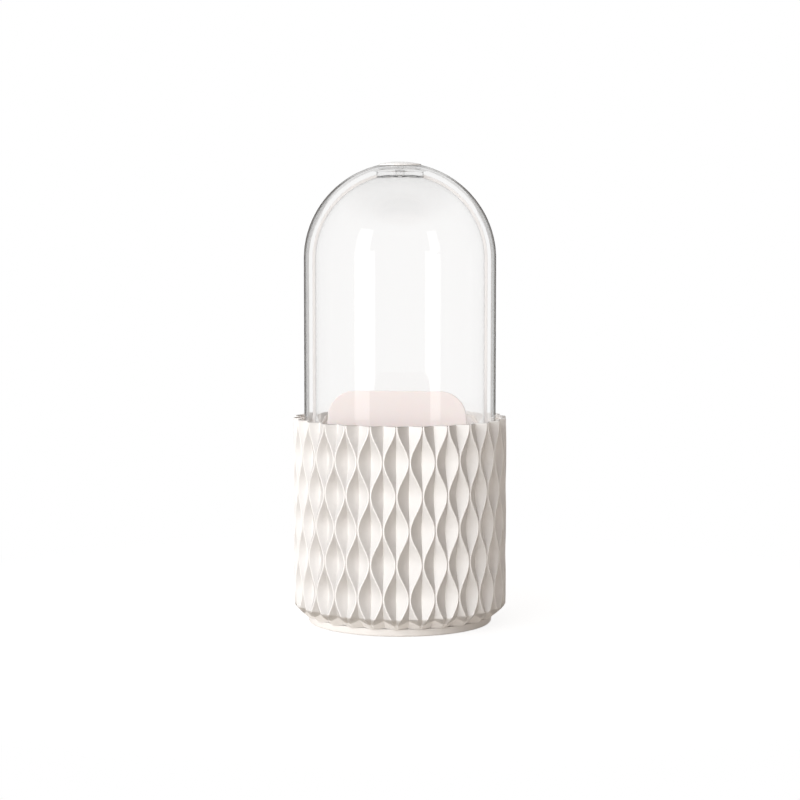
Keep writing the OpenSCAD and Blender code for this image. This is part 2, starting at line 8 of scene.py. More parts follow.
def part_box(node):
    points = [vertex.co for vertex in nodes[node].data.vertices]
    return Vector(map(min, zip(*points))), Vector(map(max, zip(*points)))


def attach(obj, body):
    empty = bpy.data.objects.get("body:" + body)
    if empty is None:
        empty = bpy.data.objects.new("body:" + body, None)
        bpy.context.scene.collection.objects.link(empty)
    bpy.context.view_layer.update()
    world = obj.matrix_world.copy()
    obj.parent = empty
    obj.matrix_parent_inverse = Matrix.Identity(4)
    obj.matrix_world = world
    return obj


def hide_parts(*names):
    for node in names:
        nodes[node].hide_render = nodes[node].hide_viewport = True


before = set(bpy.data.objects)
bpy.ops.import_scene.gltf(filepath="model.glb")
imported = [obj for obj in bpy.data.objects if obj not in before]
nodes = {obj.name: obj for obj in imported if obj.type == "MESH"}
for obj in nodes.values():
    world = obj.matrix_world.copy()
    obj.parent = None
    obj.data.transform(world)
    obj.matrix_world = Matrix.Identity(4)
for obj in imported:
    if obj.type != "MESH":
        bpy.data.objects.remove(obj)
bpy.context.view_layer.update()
mm = 0.001
acrylicIor = 1.49
print("frame loaded with", len(nodes), "nodes")

# Mesh helpers. Sizes are in millimetres here and become metres in addObject.


def boxOf(node):
    low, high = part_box(node)
    return low / mm, high / mm


def polar(r, angle, z):
    a = math.radians(angle)  # from the front (-Y) towards +X
    return (r * math.sin(a), -r * math.cos(a), z)


def roundCorners(corners, steps=5):
    # corners are (r, z, fillet), and a fillet of 0 stays sharp
    points = []
    count = len(corners)
    for i, (r, z, fillet) in enumerate(corners):
        if fillet <= 0:
            points.append((r, z))
            continue
        here = Vector((r, z))
        before = (Vector(corners[i - 1][:2]) - here).normalized()
        after = (Vector(corners[(i + 1) % count][:2]) - here).normalized()
        half = before.angle(after) / 2
        centre = here + (before + after).normalized() * (fillet / math.sin(half))
        start = here + before * (fillet / math.tan(half)) - centre
        end = here + after * (fillet / math.tan(half)) - centre
        sweep = start.angle_signed(end)
        for k in range(steps + 1):
            point = centre + Matrix.Rotation(-sweep * k / steps, 2) @ start
            points.append((point.x, point.y))
    return points


def arcPoints(centreZ, radius, fromR, toR, steps):
    # a stretch of a sphere's section, between two distances from the axis
    a0 = math.asin(min(1, fromR / radius))
    a1 = math.asin(min(1, toR / radius))
    angles = [a0 + (a1 - a0) * k / steps for k in range(steps + 1)]
    return [(radius * math.sin(a), centreZ + radius * math.cos(a)) for a in angles]


def addObject(name, verts, faces):
    mesh = bpy.data.meshes.new(name)
    mesh.from_pydata([(x * mm, y * mm, z * mm) for x, y, z in verts], [], faces)
    piece = bpy.data.objects.new(name, mesh)
    bpy.context.scene.collection.objects.link(piece)
    return piece


def tidyMesh(piece, sharpAngle=35):
    # joins doubled points, turns the faces outwards and keeps real edges crisp
    work = bmesh.new()
    work.from_mesh(piece.data)
    bmesh.ops.remove_doubles(work, verts=work.verts, dist=0.002 * mm)
    bmesh.ops.recalc_face_normals(work, faces=work.faces)
    limit = math.radians(sharpAngle)
    for edge in work.edges:
        edge.smooth = len(edge.link_faces) == 2 and edge.calc_face_angle(0) < limit
    for face in work.faces:
        face.smooth = True
    work.to_mesh(piece.data)
    work.free()
    return piece


def turned(name, section, steps=160, sharpAngle=35):
    size = len(section)
    verts = [polar(r, 360 * k / steps, z) for k in range(steps) for r, z in section]
    faces = []
    for k in range(steps):
        a, b = k * size, (k + 1) % steps * size
        for i in range(size):
            j = (i + 1) % size
            faces.append((a + i, b + i, b + j, a + j))
    return tidyMesh(addObject(name, verts, faces), sharpAngle)


def plate(name, outline, start, thickness, turn=0, upright=True):
    # outline is (across, up) on an upright plate and (x, y) on a lying one
    spin = Matrix.Rotation(math.radians(turn), 3, "Z")
    verts = []
    for depth in (start, start + thickness):
        for u, w in outline:
            verts.append(spin @ Vector((u, depth, w) if upright else (u, w, depth)))
    count = len(outline)
    faces = [tuple(range(count)), tuple(range(2 * count - 1, count - 1, -1))]
    for i in range(count):
        j = (i + 1) % count
        faces.append((i, j, count + j, count + i))
    return tidyMesh(addObject(name, verts, faces), 30)


def softEdges(piece, width, segments=2, angle=40):
    bevel = piece.modifiers.new("soft edges", "BEVEL")
    bevel.width = width * mm
    bevel.segments = segments
    bevel.limit_method = "ANGLE"
    bevel.angle_limit = math.radians(angle)
    return piece


def finishPiece(piece, body, material, slotName, *replaced):
    piece.data.materials.append(material)
    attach(piece, body)
    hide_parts(*replaced)
    return piece


def joined(name, parts):
    # one object out of several that were built apart
    work = bmesh.new()
    for part in parts:
        work.from_mesh(part.data)
        mesh = part.data
        bpy.data.objects.remove(part)
        bpy.data.meshes.remove(mesh)
    mesh = bpy.data.meshes.new(name)
    work.to_mesh(mesh)
    work.free()
    piece = bpy.data.objects.new(name, mesh)
    bpy.context.scene.collection.objects.link(piece)
    return piece


# Shader groups, each built once and placed in several materials


def newGroup(name, inputs, outputs):
    # labels with Color in them carry colours, the others carry numbers
    group = bpy.data.node_groups.new(name, "ShaderNodeTree")

    def addSocket(label, side):
        kind = "NodeSocketColor" if "Color" in label else "NodeSocketFloat"
        return group.interface.new_socket(label, in_out=side, socket_type=kind)

    for label, value in inputs.items():
        addSocket(label, "INPUT").default_value = value
    for label in outputs:
        addSocket(label, "OUTPUT")
    start = group.nodes.new("NodeGroupInput")
    end = group.nodes.new("NodeGroupOutput")
    return group, start.outputs, end.inputs


def addNode(tree, kind, values=None, **settings):
    node = tree.nodes.new("ShaderNode" + kind)
    for key, value in settings.items():
        setattr(node, key, value)
    for key, value in (values or {}).items():
        node.inputs[key].default_value = value
    return node


def linkUp(tree, *pairs):
    for source, target in pairs:
        tree.links.new(source, target)


def feed(tree, value, target):
    # an output is linked to the target, and a plain value is set there
    if hasattr(value, "is_linked"):
        tree.links.new(value, target)
    else:
        target.default_value = value


def calc(tree, operation, a, b=0.5, clamp=False):
    node = addNode(tree, "Math", operation=operation, use_clamp=clamp)
    feed(tree, a, node.inputs[0])
    feed(tree, b, node.inputs[1])
    return node.outputs[0]


def blend(tree, factor, a, b, kind="FLOAT"):
    # a where the factor is 0 and b where it is 1, for numbers or, as RGBA, for colours
    mix = addNode(tree, "Mix", data_type=kind)
    first, result = (6, 2) if kind == "RGBA" else (2, 0)
    feed(tree, factor, mix.inputs["Factor"])
    feed(tree, a, mix.inputs[first])
    feed(tree, b, mix.inputs[first + 1])
    return mix.outputs[result]


def softStep(tree, value, low, high):
    # from 0 at low to 1 at high
    step = addNode(tree, "MapRange", {"From Min": low, "From Max": high},
                   interpolation_type="SMOOTHSTEP")
    feed(tree, value, step.inputs["Value"])
    return step.outputs[0]


def mouldGrainGroup():
    # fine spark-eroded grain of a moulding, with slow drifts in tone and gloss
    group, given, out = newGroup(
        "mouldGrain",
        {"Grain Scale": 2600, "Tone Drift": 0.02, "Roughness": 0.5, "Gloss Drift": 0.06,
         "Color": (0.8, 0.8, 0.8, 1)},
        ["Color", "Roughness", "Height"])
    place = addNode(group, "TexCoord").outputs["Object"]
    fine = addNode(group, "TexNoise", {"Detail": 3, "Roughness": 0.6})
    slow = addNode(group, "TexNoise", {"Scale": 24, "Detail": 4, "Roughness": 0.55})
    linkUp(group, (place, fine.inputs["Vector"]), (place, slow.inputs["Vector"]),
           (given["Grain Scale"], fine.inputs["Scale"]))
    drift = calc(group, "SUBTRACT", slow.outputs["Fac"], 0.5)
    tone = calc(group, "ADD", calc(group, "MULTIPLY", drift, given["Tone Drift"]), 1)
    tint = addNode(group, "Mix", data_type="RGBA", blend_type="MULTIPLY")
    tint.inputs["Factor"].default_value = 1
    shade = addNode(group, "CombineColor")
    linkUp(group, (tone, shade.inputs[0]), (tone, shade.inputs[1]), (tone, shade.inputs[2]),
           (given["Color"], tint.inputs[6]), (shade.outputs[0], tint.inputs[7]),
           (tint.outputs[2], out["Color"]))
    gloss = calc(group, "MULTIPLY", drift, given["Gloss Drift"])
    speck = calc(group, "MULTIPLY", calc(group, "SUBTRACT", fine.outputs["Fac"], 0.5), given["Gloss Drift"])
    rough = calc(group, "ADD", calc(group, "ADD", given["Roughness"], gloss), speck, clamp=True)
    linkUp(group, (rough, out["Roughness"]), (fine.outputs["Fac"], out["Height"]))
    return group


def wearHighlightAndShadeGroup():
    # crests come out paler, partly wear and partly a painted highlight, and hollows darker, partly dust and
    # partly painted shade
    group, given, out = newGroup(
        "wearHighlightAndShade",
        {"Wear And Highlight": 0.3, "Dust And Shade": 0.3, "Worn And Highlight Color": (1, 1, 1, 1), "Dust And Shade Color": (0.5, 0.45, 0.4, 1),
         "Color": (0.8, 0.8, 0.8, 1)},
        ["Color"])
    pointy = addNode(group, "NewGeometry").outputs["Pointiness"]
    place = addNode(group, "TexCoord").outputs["Object"]
    patch = addNode(group, "TexNoise", {"Scale": 130, "Detail": 5, "Roughness": 0.65})
    linkUp(group, (place, patch.inputs["Vector"]))
    crest = addNode(group, "MapRange", {"From Min": 0.52, "From Max": 0.62})
    hollow = addNode(group, "MapRange", {"From Min": 0.48, "From Max": 0.38})
    linkUp(group, (pointy, crest.inputs["Value"]), (pointy, hollow.inputs["Value"]))
    patchy = patch.outputs["Fac"]
    # paler crests are wear plus a painted highlight, darker hollows are dust plus painted shade
    wearAndHighlight = calc(group, "MULTIPLY", calc(group, "MULTIPLY", crest.outputs[0], patchy), given["Wear And Highlight"])
    dustAndShade = calc(group, "MULTIPLY", calc(group, "MULTIPLY", hollow.outputs[0], patchy), given["Dust And Shade"])
    pale = blend(group, wearAndHighlight, given["Color"], given["Worn And Highlight Color"], "RGBA")
    linkUp(group, (blend(group, dustAndShade, pale, given["Dust And Shade Color"], "RGBA"), out["Color"]))
    return group


def scuffGroup():
    # hairline scuffs and specks of a polished surface
    group, given, out = newGroup(
        "hairScuffs", {"Scale": 60, "Amount": 0.1, "Roughness": 0.05}, ["Roughness", "Height"])
    place = addNode(group, "TexCoord").outputs["Object"]
    bend = addNode(group, "TexNoise", {"Scale": 9, "Detail": 2})
    mixed = addNode(group, "VectorMath", operation="MULTIPLY_ADD")
    mixed.inputs[1].default_value = (0.03, 0.03, 0.03)
    stretch = addNode(group, "Mapping")
    stretch.inputs["Scale"].default_value = (1, 1, 0.12)
    stretch.inputs["Rotation"].default_value = (0.5, 0.3, 0)
    lines = addNode(group, "TexVoronoi", feature="DISTANCE_TO_EDGE")
    linkUp(group, (place, bend.inputs["Vector"]), (bend.outputs["Color"], mixed.inputs[0]),
           (place, mixed.inputs[2]), (mixed.outputs[0], stretch.inputs["Vector"]),
           (stretch.outputs[0], lines.inputs["Vector"]), (given["Scale"], lines.inputs["Scale"]))
    hair = addNode(group, "MapRange", {"From Min": 0.012, "From Max": 0.0})
    linkUp(group, (lines.outputs["Distance"], hair.inputs["Value"]))
    mask = calc(group, "MULTIPLY", hair.outputs[0], bend.outputs["Fac"])
    rough = calc(group, "ADD", calc(group, "MULTIPLY", mask, given["Amount"]), given["Roughness"], clamp=True)
    linkUp(group, (rough, out["Roughness"]), (mask, out["Height"]))
    return group


def reliefGroup():
    # height that follows the distance from the drum's axis, so that the leaves' flanks read as hollow
    group, given, out = newGroup(
        "leafRelief", {"Low Radius": 0.066, "High Radius": 0.07, "Power": 1.5}, ["Height"])
    place = addNode(group, "TexCoord").outputs["Object"]
    flat = addNode(group, "VectorMath", operation="MULTIPLY")
    flat.inputs[1].default_value = (1, 1, 0)
    away = addNode(group, "VectorMath", operation="LENGTH")
    share = addNode(group, "MapRange")
    linkUp(group, (place, flat.inputs[0]), (flat.outputs[0], away.inputs[0]),
           (away.outputs["Value"], share.inputs["Value"]), (given["Low Radius"], share.inputs["From Min"]),
           (given["High Radius"], share.inputs["From Max"]),
           (calc(group, "POWER", share.outputs[0], given["Power"]), out["Height"]))
    return group


mouldGrain = mouldGrainGroup()
leafRelief = reliefGroup()
wearHighlightAndShade = wearHighlightAndShadeGroup()
hairScuffs = scuffGroup()
print("shader groups built")


def placeGroup(tree, group, values):
    return addNode(tree, "Group", values, node_tree=group)


def newMaterial(name, **sockets):
    material = bpy.data.materials.new(name)
    material.use_nodes = True
    shader = material.node_tree.nodes["Principled BSDF"]
    for key, value in sockets.items():
        shader.inputs[key.replace("_", " ")].default_value = value
    return material, material.node_tree, shader


def bumpInto(tree, height, shader, strength, distance, under=None):
    bump = addNode(tree, "Bump", {"Strength": strength, "Distance": distance * mm})
    linkUp(tree, (height, bump.inputs["Height"]), (bump.outputs["Normal"], shader.inputs["Normal"]))
    if under:
        linkUp(tree, (under, bump.inputs["Normal"]))


def scuffInto(tree, shader, finish):
    scuffs = placeGroup(tree, hairScuffs, {
        "Scale": finish["scuffScale"], "Amount": finish["scuffs"], "Roughness": finish["roughness"]})
    linkUp(tree, (scuffs.outputs["Roughness"], shader.inputs["Roughness"]))
    bumpInto(tree, scuffs.outputs["Height"], shader, finish["bump"], finish["bumpDepth"])


def mixInto(tree, factor, first, second):
    # the surface is the first shader where the factor is 0 and the second where it is 1
    mix = addNode(tree, "MixShader")
    linkUp(tree, (factor, mix.inputs[0]), (first, mix.inputs[1]), (second, mix.inputs[2]),
           (mix.outputs[0], tree.nodes["Material Output"].inputs["Surface"]))


def plasticMaterial(name, finish):
    # moulded plastic: grain, slow drift of tone, crests painted paler as wear and highlight, and hollows
    # painted darker as dust and shade
    material, tree, shader = newMaterial(
        name, IOR=acrylicIor, Specular_IOR_Level=finish["gloss"], Coat_Weight=finish["coat"],
        Coat_Roughness=0.12, Subsurface_Weight=finish["glow"], Subsurface_Scale=0.004)
    # the group paints the crests paler as wear and highlight and the hollows darker as dust and shade
    wearAndHighlight = placeGroup(tree, wearHighlightAndShade, {
        "Color": finish["color"], "Worn And Highlight Color": finish["wornAndHighlight"], "Dust And Shade Color": finish["dustAndShade"],
        "Wear And Highlight": finish["wearAndHighlight"], "Dust And Shade": finish["dustAndShadeAmount"]})
    grain = placeGroup(tree, mouldGrain, {
        "Grain Scale": finish["grainScale"], "Tone Drift": finish["drift"],
        "Roughness": finish["roughness"], "Gloss Drift": finish["glossDrift"]})
    linkUp(tree, (wearAndHighlight.outputs["Color"], grain.inputs["Color"]),
           (grain.outputs["Color"], shader.inputs["Base Color"]),
           (grain.outputs["Roughness"], shader.inputs["Roughness"]))
    under = None
    if "relief" in finish:
        relief = placeGroup(tree, leafRelief, finish["relief"])
        deeper = addNode(tree, "Bump", {"Strength": 1, "Distance": finish["reliefDepth"] * mm})
        linkUp(tree, (relief.outputs["Height"], deeper.inputs["Height"]))
        under = deeper.outputs["Normal"]
    bumpInto(tree, grain.outputs["Height"], shader, finish["bump"], finish["bumpDepth"], under)
    return material


def clearMaterial(name, finish):
    # clear plastic: light reaches what stands behind it, faces keep hairline scuffs
    material, tree, shader = newMaterial(name, Transmission_Weight=1, IOR=finish["ior"], Metallic=0)
    # seen edge on, the wall is many times thicker, and there its colour is darkened as a painted shade that
    # draws the dome's dark outline
    facing = addNode(tree, "LayerWeight", {"Blend": 0.5}).outputs["Facing"]
    edge = softStep(tree, facing, finish["edgeFrom"], finish["edgeTo"])
    tint = blend(tree, edge, finish["color"], finish["edgeShadeColor"], "RGBA")
    linkUp(tree, (tint, shader.inputs["Base Color"]))
    scuffInto(tree, shader, finish)
    path = addNode(tree, "LightPath")
    passing = calc(tree, "MAXIMUM", path.outputs["Is Shadow Ray"], path.outputs["Is Diffuse Ray"])
    clear = addNode(tree, "BsdfTransparent", {"Color": finish["shadowColor"]})
    mixInto(tree, passing, shader.outputs[0], clear.outputs[0])
    return material


def scuffedMaterial(name, finish, **sockets):
    # one even colour under hairline scuffs
    material, tree, shader = newMaterial(name, Base_Color=finish["color"], **sockets)
    scuffInto(tree, shader, finish)
    return material


def rgb(r, g, b):
    # colours are written as screen values from 0 to 255
    def linear(v):
        v = v / 255
        return v / 12.92 if v <= 0.04045 else ((v + 0.055) / 1.055) ** 2.4
    return (linear(r), linear(g), linear(b), 1)


# the worn colour and the wear amount paint the crests paler, partly as a painted highlight; the dust colour
# and amount paint the hollows darker, partly as painted shade
plainFinish = dict(color=rgb(245, 243, 241), wornAndHighlight=rgb(251, 250, 248), dustAndShade=rgb(176, 166, 156), wearAndHighlight=0.5,
                   dustAndShadeAmount=0.25, gloss=0.4, coat=0, glow=0, roughness=0.55, glossDrift=0.12, drift=0.02,
                   grainScale=2600, bump=0.25, bumpDepth=0.02)
drumFinish = dict(plainFinish, relief={"Low Radius": 0.066, "High Radius": 0.07, "Power": 1.3},
                  reliefDepth=5.5)
rimFinish = dict(plainFinish, color=rgb(243, 236, 230), roughness=0.38, bump=0.12, dustAndShadeAmount=0.1,
                 gloss=0.5)
cupFinish = dict(plainFinish, color=rgb(238, 232, 230), roughness=0.4, bump=0.12, wearAndHighlight=0.2, gloss=0.5)
insertFinish = dict(plainFinish, color=rgb(246, 238, 236), wornAndHighlight=rgb(250, 246, 244), roughness=0.42,
                    bump=0.15, wearAndHighlight=0.3, gloss=0.5, glow=0.08)
footFinish = dict(plainFinish, color=rgb(236, 233, 230), wornAndHighlight=rgb(243, 241, 239), roughness=0.5, bump=0.3)
buttonFinish = dict(plainFinish, color=rgb(250, 249, 248), roughness=0.2, bump=0.05, wearAndHighlight=0.1,
                    dustAndShadeAmount=0.05, gloss=0.55, coat=0.3)
bearingFinish = dict(plainFinish, color=rgb(226, 222, 212), roughness=0.35, bump=0.1, glow=0.05)
rubberFinish = dict(plainFinish, color=rgb(96, 95, 94), wornAndHighlight=rgb(120, 118, 116), roughness=0.8, gloss=0.3,
                    grainScale=1800, bump=0.5, bumpDepth=0.05, wearAndHighlight=0.4, dustAndShadeAmount=0.5)
# the edge colour is a painted shade for the dark outline where the wall is seen edge on
doorClearFinish = dict(color=(0.985, 0.982, 0.979, 1), edgeShadeColor=(0.3, 0.275, 0.255, 1), edgeFrom=0.75,
                       edgeTo=0.83, ior=acrylicIor, shadowColor=(0.97, 0.97, 0.97, 1), roughness=0.012,
                       scuffs=0.05, scuffScale=45, bump=0.02, bumpDepth=0.01)
rearClearFinish = dict(doorClearFinish, edgeShadeColor=(0.94, 0.935, 0.93, 1))
# an index of refraction close to air's, far below a real plastic's, so that the pivot hardly shows
nylonFinish = dict(doorClearFinish, color=(0.99, 0.99, 0.99, 1), edgeShadeColor=(0.98, 0.98, 0.98, 1),
                   roughness=0.03, ior=1.001)
# the cut edges of the acrylic are satin and catch the light
sawnFinish = dict(color=rgb(252, 250, 249), roughness=0.6, scuffScale=700, scuffs=0.2, bump=0.2,
                  bumpDepth=0.01)
zincFinish = dict(color=rgb(198, 198, 196), roughness=0.28, scuffs=0.3, scuffScale=400, bump=0.3,
                  bumpDepth=0.02)
ballFinish = dict(zincFinish, color=rgb(214, 214, 216), roughness=0.08, scuffs=0.2, scuffScale=500)

drumPlastic = plasticMaterial("drumPlastic", drumFinish)
rimPlastic = plasticMaterial("rimPlastic", rimFinish)
cupPlastic = plasticMaterial("cupPlastic", cupFinish)
insertPlastic = plasticMaterial("insertPlastic", insertFinish)
footPlastic = plasticMaterial("footPlastic", footFinish)
buttonPlastic = plasticMaterial("buttonPlastic", buttonFinish)
bearingPlastic = plasticMaterial("bearingPlastic", bearingFinish)
rubberGrey = plasticMaterial("rubberGrey", rubberFinish)
doorAcrylic = clearMaterial("doorAcrylic", doorClearFinish)
rearAcrylic = clearMaterial("rearAcrylic", rearClearFinish)
clearNylon = clearMaterial("clearNylon", nylonFinish)
sawnAcrylic = scuffedMaterial("sawnAcrylic", sawnFinish, Transmission_Weight=0.15, IOR=acrylicIor,
                              Metallic=0)
zincSteel = scuffedMaterial("zincSteel", zincFinish, Metallic=1)
ballSteel = scuffedMaterial("ballSteel", ballFinish, Metallic=1)
print("materials built")

# Sizes that several pieces share, read from the frame
rimLow, rimHigh = boxOf("rim_ring")
sleeveLow, sleeveHigh = boxOf("wave_sleeve")
doorLow, doorHigh = boxOf("dome_door")
rearLow, rearHigh = boxOf("dome_rear")
capLow, capHigh = boxOf("pivot_cap")
plateLow, plateHigh = boxOf("turntable_plate")
cupHigh = boxOf("inner_cup")[1]
footHigh = boxOf("turntable_foot")[1]
deckWidth = 7.2
domeWall = 2
doorRadius = doorHigh.x
crestRadius = doorRadius + deckWidth
rimZ = sleeveHigh.z
deckZ = rimHigh.z
sleeveBottom = sleeveLow.z
rearRadius = rearHigh.x
rearInner = rearRadius - domeWall
fitClear = 0.3
sleeveInner = plateHigh.x + fitClear
insertTurn = -4.5
doorArc = 190
sink = 0.1  # how far pieces that are joined into one run into each other

# The patterned sleeve: rows of leaves with straight flanks that meet in a crease
sleeve = dict(
    leafPairs=26, leafLength=43.4, leafDepth=4, swing=0.84, waistDrop=1, firstRow=-2,
    crestRound=0.5, flankSteps=3, roundSteps=3, levelStep=0.95,
    cornerHeight=7.5, cornerIn=7.3, cornerPower=1.3, cornerSteps=14, skin=1.5, ledgeRise=10, ledgeWidth=2.5,
    edge=1.2, edgeRound=0.5, edgeInnerRound=0.25,
)
rim = dict(deck=1.5, grooveDepth=6.4, grooveFloor=1.6, grooveClear=0.4, lip=1, skirt=1.8,
           lipRound=0.35, stopArc=2.6, stopSteps=4, stopClear=0.4, stopDrop=1)
deckUnder = deckZ - rim["deck"]


def leafOutline(s, z, inset=0, lift=0):
    # the pattern's outline at level z, drawn in by inset and raised by lift
    rows = 2 * s["leafPairs"]
    step = 360 / rows
    widest = step / 2 * (1 + s["swing"])
    slope = s["leafDepth"] / widest
    share = max(0, (sleeveBottom + s["cornerHeight"] - z) / s["cornerHeight"])
    outer = crestRadius - s["cornerIn"] * share ** s["cornerPower"] - inset
    lean = s["swing"] * math.cos(2 * math.pi * (z - rimZ + s["waistDrop"]) / s["leafLength"])
    points = []
    for row in range(rows):
        sign = 1 if row % 2 == 0 else -1
        half = step / 2 * (1 - sign * lean)
        nextHalf = step / 2 * (1 + sign * lean)
        crease = s["firstRow"] + row * step
        for flank, direction in ((half, 1), (nextHalf, -1)):
            # distances from the crest, in degrees
            far = [s["crestRound"] + (flank - s["crestRound"]) * k / s["flankSteps"]
                   for k in range(s["flankSteps"], 0, -1)]
            near = [s["crestRound"] * k / s["roundSteps"] for k in range(s["roundSteps"], -1, -1)]
            away = far + near
            if direction < 0:
                away = away[::-1][1:-1]
            for x in away:
                soft = x if x > s["crestRound"] else (x * x / s["crestRound"] + s["crestRound"]) / 2
                points.append(polar(outer - slope * soft, crease + half - direction * x, z + lift))
    return points


def circleAlong(outline, r, z):
    # a circle whose points stand at the angles of an outline's points
    return [(x * r / math.hypot(x, y), y * r / math.hypot(x, y), z) for x, y, _ in outline]


def lofted(name, rings, sharpAngle):
    count = len(rings[0])
    faces = []
    for i in range(len(rings)):
        a, b = i * count, (i + 1) % len(rings) * count
        for k in range(count):
            n = (k + 1) % count
            faces.append((a + k, a + n, b + n, b + k))
    return tidyMesh(addObject(name, [p for ring in rings for p in ring], faces), sharpAngle)


def leafSleeve(s):
    cornerTop = sleeveBottom + s["cornerHeight"]
    top = rimZ - s["edgeRound"]
    levels = [sleeveBottom + s["cornerHeight"] * k / s["cornerSteps"] for k in range(s["cornerSteps"])]
    straight = int((top - cornerTop) / s["levelStep"])
    levels += [cornerTop + (top - cornerTop) * k / straight for k in range(straight + 1)]
    rings = [leafOutline(s, z) for z in levels]
    for k in (1, 2, 3):
        a = math.radians(30 * k)
        rings.append(leafOutline(s, rimZ, s["edgeRound"] * (1 - math.cos(a)),
                                 s["edgeRound"] * (math.sin(a) - 1)))
    for k in (0, 1, 2):
        a = math.radians(45 * k)
        rings.append(leafOutline(s, rimZ, s["edge"] - s["edgeInnerRound"] * (1 - math.sin(a)),
                                 s["edgeInnerRound"] * (math.cos(a) - 1)))
    inside = leafOutline(s, rimZ, s["edge"], deckUnder - rimZ)
    ledge = sleeveBottom + s["ledgeRise"]
    edgeInner = crestRadius - s["cornerIn"] - s["leafDepth"] - s["skin"]
    rings += [inside, circleAlong(inside, sleeveInner, deckUnder), circleAlong(inside, sleeveInner, ledge),
              circleAlong(inside, sleeveInner - s["ledgeWidth"], ledge),
              circleAlong(inside, edgeInner, sleeveBottom)]
    return lofted("leaf_sleeve", rings, 32)


finishPiece(leafSleeve(sleeve), "drum", drumPlastic, "drum_plastic", "wave_sleeve")
print("sleeve built")


# The rim: its deck fills the sleeve's edge and holds the two grooves that the dome stands in
def rimBody(s):
    under = deckZ - s["grooveDepth"] - s["grooveFloor"]
    floor = deckZ - s["grooveDepth"]
    lipOuter = rearInner - fitClear
    skirtOuter = sleeveInner - fitClear
    soft = s["lipRound"]
    doorInner = doorRadius - domeWall
    section = roundCorners([
        (lipOuter - s["lip"], under, 0), (skirtOuter - s["skirt"], under, 0),
        (skirtOuter - s["skirt"], rimLow.z, 0), (skirtOuter, rimLow.z, 0), (skirtOuter, deckUnder, 0),
        (crestRadius, deckUnder, 0), (crestRadius, deckZ, 0), (doorRadius + s["grooveClear"], deckZ, soft),
        (doorRadius + s["grooveClear"], floor, 0), (doorInner - s["grooveClear"], floor, 0),
        (doorInner - s["grooveClear"], deckZ, soft), (rearRadius + fitClear, deckZ, soft),
        (rearRadius + fitClear, floor, 0), (lipOuter, floor, 0),
        (lipOuter, deckZ, soft), (lipOuter - s["lip"], deckZ, soft)])
    # the two points out at the crests stand for the deck's edge, which follows the pattern
    edge = leafOutline(sleeve, rimZ, sleeve["edge"] + fitClear)
    rings = [[(x, y, z) for x, y, _ in edge] if r == crestRadius else circleAlong(edge, r, z)
             for r, z in section]
    return lofted("rim_body", rings, 50)


def doorStop(s):
    # small block in the outer groove that ends the door's travel both ways
    start = -doorArc / 2 - s["stopClear"] - s["stopArc"]
    inner = doorRadius - domeWall - s["grooveClear"] - sink
    outer = doorRadius + s["grooveClear"] + sink
    low, high = deckZ - s["grooveDepth"] - sink, deckZ - s["stopDrop"]
    steps = s["stopSteps"]
    verts = [polar(r, start + s["stopArc"] * k / steps, z) for k in range(steps + 1)
             for r, z in ((inner, low), (outer, low), (outer, high), (inner, high))]
    last = 4 * steps
    faces = [(0, 1, 2, 3), (last + 3, last + 2, last + 1, last)]
    for k in range(steps):
        a, b = 4 * k, 4 * k + 4
        faces += [(a + i, b + i, b + (i + 1) % 4, a + (i + 1) % 4) for i in range(4)]
    return tidyMesh(addObject("door_stop", verts, faces))


rimPiece = joined("rim", [rimBody(rim), doorStop(rim)])
finishPiece(rimPiece, "drum", rimPlastic, "rim_plastic", "rim_ring")
print("rim built")

# The dome: two nested halves, each an arc of wall with a full ring at its crown
dome = dict(seamSteps=96, openSteps=40, sphereSteps=40, wallRows=[0.004, 0.02, 0.1, 0.3, 0.5, 0.7, 0.9, 1],
            lipRound=0.7, seamRound=0.35, seamMargin=0.02)
pivot = dict(capRise=0.6, earDrop=2.9, ear=1.4, clear=0.3, bush=10.5, bushClear=0.08, slip=0.5,
             slipWidth=4.4, padDrop=0.7, hole=2.2, capHole=2.05, overScrew=1, capCrown=1.5,
             pocketRound=0.25, pocketRim=0.8, holeRound=0.2, ringRound=0.3, screwGap=0.05, capSoft=0.3,
             capRound=0.6, crownIn=1.2)
sphereZ = capHigh.z - pivot["capRise"] - doorRadius
doorApex = sphereZ + doorRadius
earTop = doorApex - pivot["earDrop"]
earLow = earTop - pivot["ear"]
crownTop = earLow - pivot["clear"] - pivot["slip"]


def onSphere(radius, r):
    return sphereZ + math.sqrt(radius ** 2 - r ** 2)


def wallStrip(outerRadius, splitR, bottomZ, s):
    # outside and inside of the wall, each from the crown's ring down to the lip
    lip = s["lipRound"]
    innerRadius = outerRadius - domeWall
    straight = sphereZ - bottomZ - lip
    outside, inside = [arcPoints(sphereZ, r, splitR, r, s["sphereSteps"])
                       + [(r, sphereZ - straight * k) for k in s["wallRows"]]
                       for r in (outerRadius, innerRadius)]
    for k in (1, 2, 3):
        a = math.radians(30 * k)
        drop = lip * math.sin(a)
        tuck = lip * (1 - math.cos(a))
        outside.append((outerRadius - tuck, bottomZ + lip - drop))
        inside.append((innerRadius + tuck, bottomZ + lip - drop))
    return outside, inside


def markSeams(piece, midAngle, margin):
    # the upright faces at the two ends of the arc get the second material
    for face in piece.data.polygons:
        turn = math.degrees(math.atan2(face.center.x, -face.center.y)) - midAngle
        turn = abs((turn + 180) % 360 - 180)
        if abs(turn - doorArc / 2) < margin and abs(face.normal.z) < 0.05:
            face.material_index = 1


